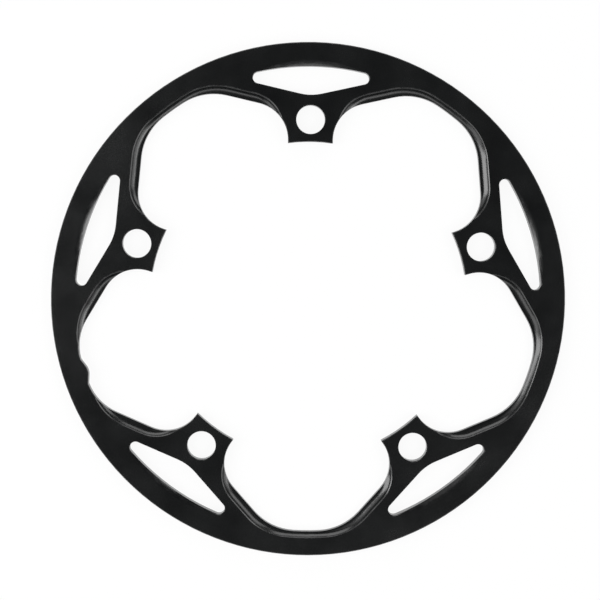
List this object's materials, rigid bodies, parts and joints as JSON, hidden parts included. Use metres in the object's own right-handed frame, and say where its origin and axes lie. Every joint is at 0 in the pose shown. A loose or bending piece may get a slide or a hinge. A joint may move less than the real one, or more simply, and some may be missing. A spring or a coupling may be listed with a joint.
{
  "type": "chain guard",
  "caption": "Flat black chain guard ring for a bicycle crank: plain rim, inward bolt tabs on paired struts, lens-shaped windows and coved bays, bolted outside the chainring",
  "frame": {"origin": "centre of the bolt circle on the flat back face, which the guard lies on", "axes": "+Z out of the front face, away from the bicycle; +Y along the middle of one bolt tab; the bay with the index bump lies toward -X and a little -Y"},
  "size_m": [0.185, 0.185, 0.004],
  "materials": {
    "anodised_black": "satin black anodised"
  },
  "bodies": {
    "root": {"chain_guard": "anodised_black"}
  },
  "joints": []
}
